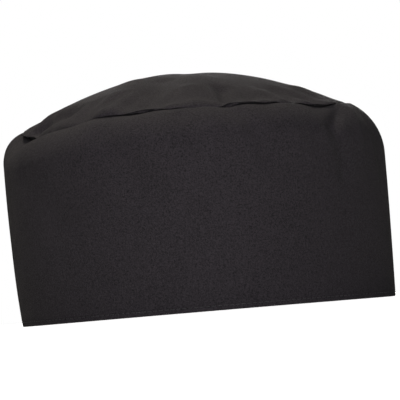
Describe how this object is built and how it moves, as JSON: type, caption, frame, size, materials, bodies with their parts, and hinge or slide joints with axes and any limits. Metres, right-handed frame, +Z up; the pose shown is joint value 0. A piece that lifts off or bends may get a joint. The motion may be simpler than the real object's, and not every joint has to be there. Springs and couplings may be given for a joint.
{
  "type": "chef toque",
  "caption": "Low round cloth chef's hat: stiffened upright band, soft domed crown, arched back opening with an overlapping hook-and-loop strap, inner sweatband and blank label.",
  "frame": {"origin": "centre of the hem ring, on the plane that the hat stands on", "axes": "+Z up through the crown, -Y to the wearer's front, +Y to the back opening, +X to the wearer's left"},
  "size_m": [0.191, 0.1912, 0.1191],
  "materials": {
    "twill": "black cotton and polyester twill, fine diagonal rib, soft sheen",
    "lining": "black plain-weave lining",
    "interlining": "stiff non-woven interlining, matt",
    "sweatband": "soft black herringbone cotton, matt",
    "binding": "black bias tape, plain weave",
    "thread": "black polyester sewing thread, slight lustre",
    "hook_tape": "black nylon hooks on a woven ground",
    "loop_tape": "black brushed nylon loops",
    "label": "blank off-white woven satin label"
  },
  "bodies": {
    "hat": {"band_shell": "twill", "band_interlining": "interlining", "band_lining": "lining", "sweatband": "sweatband", "sweatband_edging": "thread", "crown_panel": "twill", "crown_seam_binding": "binding", "crown_seam_stitching": "thread", "hem_stitching": "thread", "back_seam_stitching": "thread", "opening_binding": "binding", "opening_stitching": "thread", "hook_strap_root": "twill", "hook_root_stitching": "thread"},
    "hook_strap": {"hook_strap": "twill", "hook_tape": "hook_tape", "hook_tape_stitching": "thread"},
    "loop_strap": {"loop_strap": "twill", "loop_tape": "loop_tape", "loop_tape_stitching": "thread"},
    "care_label": {"care_label": "label"}
  },
  "joints": [
    {"name": "hook_strap_peel", "type": "hinge", "parent": "hat", "child": "hook_strap", "pos_m": [-0.0296, 0.09076, 0.0155], "axis": [0, 0, 1], "range_deg": [0, 150]},
    {"name": "loop_strap_swing", "type": "hinge", "parent": "hat", "child": "loop_strap", "pos_m": [0.0287, 0.08664, 0.0155], "axis": [0, 0, 1], "range_deg": [0, 50]},
    {"name": "label_flip", "type": "hinge", "parent": "hat", "child": "care_label", "pos_m": [0, 0.08037, 0.08694], "axis": [-1, 0, 0], "range_deg": [-15, 80]}
  ]
}
